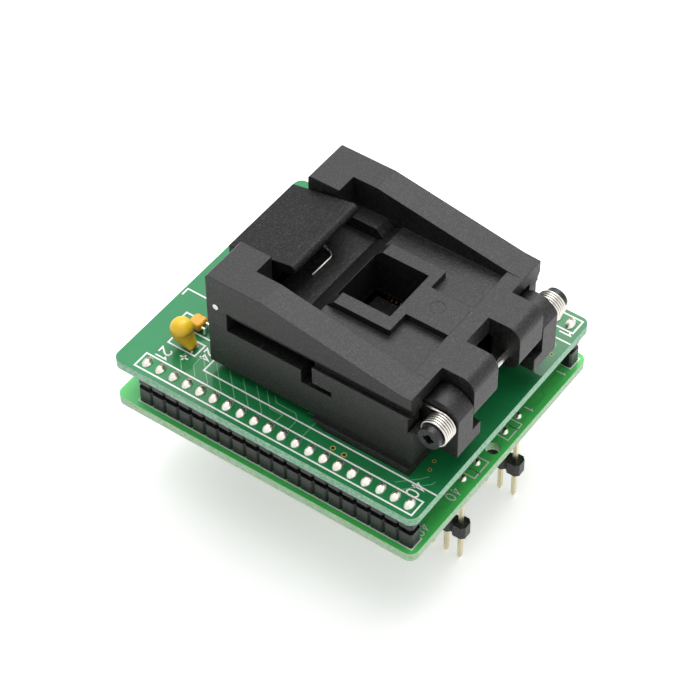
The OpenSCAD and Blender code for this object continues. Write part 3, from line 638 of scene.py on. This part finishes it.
dipped_body()
lying_body()


# ---------------------------------------------------------------- solder
chance = random.Random(7)
BEAD = ((1, 0), (0.99, 0.08), (0.93, 0.24), (0.82, 0.42), (0.67, 0.6), (0.5, 0.76),
        (0.34, 0.88), (0.18, 0.96), (0, 1))
CUT_END = ((0.25, 0), (0.25, 0.1), (0.2, 0.13), (0, 0.13))
CUT_END_DEPTH = 0.1
JUMPER_Y = 1.5 * PITCH


def solder(name, node, spots, body, half, height):
    """Oblong wetted domes that lean a little, each with its cut pin end just proud of it."""
    beads, ends = Batch(), Batch()
    for x, y, z in spots:
        size = 1 + chance.uniform(-0.05, 0.05)
        tall = height * (1 + chance.uniform(-0.12, 0.08))
        lean = chance.uniform(0.12, 0.24)
        first = len(beads.verts)
        beads.lathe([(r * size, h * tall) for r, h in BEAD], (x, y, z), 24, half)
        for i in range(first, len(beads.verts)):
            vx, vy, vz = beads.verts[i]
            beads.verts[i] = (vx, vy + lean * ((vz - z) / tall) ** 2, vz)
        ends.lathe(CUT_END, (x, y + lean, z + tall - CUT_END_DEPTH), 14)
    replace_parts(beads.make(name, SOLDER, body, True, "solder"), node)
    ends.make(name + "_pins", PIN_END, body, True, "plug_pin")


def pads(y, z):
    """The places of the two long rows of pads."""
    return [(row_x(i), sign * y, z) for sign in FRONT_BACK for i in range(ROW_COUNT)]


jumper_pads = [(row_x(ROW_COUNT - 1), sign * JUMPER_Y, LOWER_TOP) for sign in FRONT_BACK]
solder("solder_upper", "upper_solder", pads(JOIN_Y, UPPER_TOP), "socket_stack", (0.8, 1.16), 0.95)
solder("solder_lower", "lower_solder", pads(PLUG_Y, LOWER_TOP) + jumper_pads,
       "plug_stack", (0.6, 0.64), 0.6)


# ---------------------------------------------------------------- printed legend
STROKES = {
    "1": ((0.1, 0.8), (0.5, 1), (0.5, 0)),
    "2": ((0, 0.78), (0.12, 0.93), (0.5, 1), (0.86, 0.93), (1, 0.75), (0.86, 0.55), (0, 0), (1, 0)),
    "4": ((0.72, 0), (0.72, 1), (0, 0.3), (1, 0.3)),
    "0": ((0.5, 0), (0.15, 0.08), (0, 0.32), (0, 0.68), (0.15, 0.92), (0.5, 1), (0.85, 0.92),
          (1, 0.68), (1, 0.32), (0.85, 0.08), (0.5, 0)),
}
DIGIT_WIDTH = 0.54          # as a part of its height
INK = 0.02
PRINT_LIFT = 0.004          # the print's gap over its board
DIGIT_LIFT = 0.003          # keeps a digit off what it crosses


class Legend(Batch):
    """White print in lines of one width on one board."""

    def __init__(self, top, width):
        super().__init__()
        self.z = top + PRINT_LIFT
        self.width = width

    def stroke(self, *points):
        self.line(points, self.width, self.z, INK)

    def box(self, x0, y0, x1, y1):
        self.stroke((x0, y0), (x1, y0), (x1, y1), (x0, y1), (x0, y0))

    def digits(self, text, base, start, height, step):
        """Digits read from the latch end: each stands along +X, and the next is towards -Y."""
        for n, digit in enumerate(text):
            points = [(base + v * height, start - n * step - u * height * DIGIT_WIDTH)
                      for u, v in STROKES[digit]]
            self.line(points, self.width, self.z + (n + 1) * DIGIT_LIFT, INK)


def legend_upper():
    """Pin rows, the socket's sides, both capacitors, a corner mark, a plus and pin numbers."""
    legend = Legend(UPPER_TOP, 0.28)
    for sign in FRONT_BACK:
        legend.box(-25.46, sign * 21.84 - 1.5, 25.46, sign * 21.84 + 1.5)
        legend.stroke((-16.17, sign * 15.6), (-16.17, sign * 18.2), (26.38, sign * 18.2))
    legend.box(-24.2, -16.7, -19.06, -14.1)
    legend.box(-25.7, -12.8, -17.2, -10.14)
    legend.stroke((-28.66, -7.5), (-28.66, -6.0), (-24.4, -6.0))
    legend.stroke((-21.0, -17.85), (-19.5, -17.85))
    legend.stroke((-20.25, -18.45), (-20.25, -17.25))
    legend.digits("21", -24.26, -17.93, 1.96, 1.3)
    legend.digits("24", -18.45, -14.35, 1.65, 1.3)
    legend.digits("40", 22.3, -17.85, 1.9, 1.5)
    legend.digits("1", 23.45, 20.2, 1.98, 1.3)
    legend.make("legend_upper", LEGEND, "socket_stack")


def legend_lower():
    """Pin rows, two boxes at each jumper pad, and pin numbers."""
    legend = Legend(LOWER_TOP, 0.2)
    for sign in FRONT_BACK:
        legend.box(-25.5, sign * 21.86 - 1.32, 25.5, sign * 21.86 + 1.32)
        legend.box(22.8, sign * 3.98 - 1.3, 25.5, sign * 3.98 + 1.3)
        legend.box(22.8, sign * 5.92 - 0.62, 25.5, sign * 5.92 + 0.62)
    legend.digits("40", 23.8, -9.8, 1.6, 1.35)
    legend.digits("40", 23.85, -18.2, 1.5, 1.2)
    legend.digits("1", 23.95, 19.35, 1.5, 1.2)
    legend.digits("1", 23.85, 10.2, 1.5, 1.2)
    legend.make("legend_lower", LEGEND, "plug_stack")


legend_upper()
legend_lower()


# ---------------------------------------------------------------- copper
# A track's points are (x from its pad, distance from the board's middle line).
UPPER_TRACKS = {
    (2, 3): ((0, 20.0), (-1.6, 18.2), (-1.6, 15.2)),
    (4, 5, 6, 7, 8): ((0, 20.1), (-4.0, 16.0)),
    (9,): ((0, 20.4), (0.2, 18.6), (-2.2, 18.6), (-4.7, 15.9)),
    (10,): ((0, 20.4), (0, 18.1), (-1.0, 17.15), (-4.5, 17.15), (-5.6, 16.1)),
    (11,): ((0, 20.4), (0, 16.4), (-0.4, 16.0), (-2.2, 15.95)),
    (17,): ((0.9, 19.6), (3.7, 16.9), (4.4, 15.9)),
    (18,): ((0, 20.2), (1.5, 18.4), (3.0, 16.9), (3.2, 16.2)),
}
LOWER_TRACKS = {
    range(ROW_COUNT): ((0, 20.6), (0, 14.5), (1.1, 13.4), (1.1, 10.2), (0, 9.1), (0, 8.4)),
}
TRACK_LIFT, TRACK_THICK = 0.001, 0.01


def tracks(name, layout, width, top, look, body):
    """Fine tracks that lead from the pads of both rows towards the middle."""
    batch = Batch()
    for numbers, path in layout.items():
        for i in numbers:
            for sign in FRONT_BACK:
                points = [(row_x(i) + dx, sign * y) for dx, y in path]
                batch.line(points, width, top + TRACK_LIFT, TRACK_THICK)
    batch.make(name, look, body)


SMALL_VIA, LARGE_VIA = (0.2, 0.34), (0.28, 0.46)        # radii of the hole and the rim
VIAS = {
    SMALL_VIA: ((22.83, -14.73), (22.4, -13.0), (25.1, 14.85)),
    LARGE_VIA: ((8.8, -19.5), (10.9, -19.6)),
}
VIA_LIFT, RIM_THICK, HOLE_THICK = 0.002, 0.02, 0.01


def vias():
    """Plated holes: a raised rim round a dark disc of painted shade where the hole is."""
    rims, holes = Batch(), Batch()
    z = UPPER_TOP + VIA_LIFT
    for (hole, rim), places in VIAS.items():
        for x, y in places:
            rims.washer(x, y, z, hole, rim, RIM_THICK)
            holes.washer(x, y, z, 0.0, hole, HOLE_THICK)
    rims.make("via_rims", VIA_RIM, "socket_stack")
    holes.make("via_hole_shades", VIA_HOLE_SHADE, "socket_stack")


tracks("tracks_upper", UPPER_TRACKS, 0.15, UPPER_TOP, TRACK_UPPER, "socket_stack")
tracks("tracks_lower", LOWER_TRACKS, 0.18, LOWER_TOP, TRACK_LOWER, "plug_stack")
vias()


# ---------------------------------------------------------------- floor and light
AMBIENT = 0.38
FLOOR_GLOW = 0.46
FLOOR_HALF = 900
LAMP_TARGET = Vector((0, 0, 20))


def white_for_seen_rays(tree, low, high):
    """Strength that is high for rays that show the surroundings, low for light on the object."""
    path = tree.nodes.new("ShaderNodeLightPath")
    seen = path.outputs["Is Camera Ray"]
    for kind in ("Is Glossy Ray", "Is Transmission Ray"):
        either = tree.nodes.new("ShaderNodeMath")
        either.operation = "MAXIMUM"
        tree.links.new(seen, either.inputs[0])
        tree.links.new(path.outputs[kind], either.inputs[1])
        seen = either.outputs[0]
    strength = tree.nodes.new("ShaderNodeMapRange")
    strength.inputs["To Min"].default_value = low
    strength.inputs["To Max"].default_value = high
    tree.links.new(seen, strength.inputs["Value"])
    return strength.outputs["Result"]


def floor():
    """White paper that takes the object's shadow, with a faint glow where it is seen."""
    corners = [(x * FLOOR_HALF * MM, y * FLOOR_HALF * MM, GROUND * MM)
               for x, y in ((-1, -1), (1, -1), (1, 1), (-1, 1))]
    mesh = bpy.data.meshes.new("floor")
    mesh.from_pydata(corners, [], [(0, 1, 2, 3)])
    obj = bpy.data.objects.new("floor", mesh)
    bpy.context.scene.collection.objects.link(obj)
    paper = Look("floor_paper", srgb(246, 246, 245), 0.9, spec=0.1)
    tone = paper.ramp(paper.noise(40, 3), 0, 1)
    paper.color(paper.mix(tone, srgb(244, 244, 243), srgb(249, 249, 248)))
    strength = white_for_seen_rays(paper.tree, 0.0, FLOOR_GLOW)
    glow = paper.node("ShaderNodeEmission", {"Strength": strength})
    both = paper.node("ShaderNodeAddShader", {0: paper.shader.outputs[0], 1: glow.outputs[0]})
    paper.tree.links.new(both.outputs[0], paper.tree.nodes["Material Output"].inputs["Surface"])
    mesh.materials.append(paper.material)


def world():
    surroundings = bpy.data.worlds.new("world")
    bpy.context.scene.world = surroundings
    surroundings.use_nodes = True
    tree = surroundings.node_tree
    background = tree.nodes["Background"]
    background.inputs["Color"].default_value = (1, 1, 1, 1)
    tree.links.new(white_for_seen_rays(tree, AMBIENT, 1.0), background.inputs["Strength"])


def softbox(name, toward, distance, size, brightness):
    """A square lamp that faces the object from a direction, as bright however large it is."""
    data = bpy.data.lights.new(name, "AREA")
    data.energy = brightness * math.pi * (size * MM) ** 2
    data.size = size * MM
    data.shape = "SQUARE"
    lamp = bpy.data.objects.new(name, data)
    bpy.context.scene.collection.objects.link(lamp)
    way = Vector(toward).normalized()
    lamp.location = (LAMP_TARGET + way * distance) * MM
    lamp.rotation_euler = (-way).to_track_quat("-Z", "Y").to_euler()


floor()
world()
softbox("ceiling", (-0.2, 0.24, 0.95), distance=520, size=700, brightness=1.8)
softbox("hot_spot", (-0.06, 0.5, 0.85), distance=450, size=260, brightness=2.6)
softbox("right", (0.93, 0.05, 0.36), distance=600, size=380, brightness=1.0)

bpy.context.scene.view_settings.view_transform = "Standard"
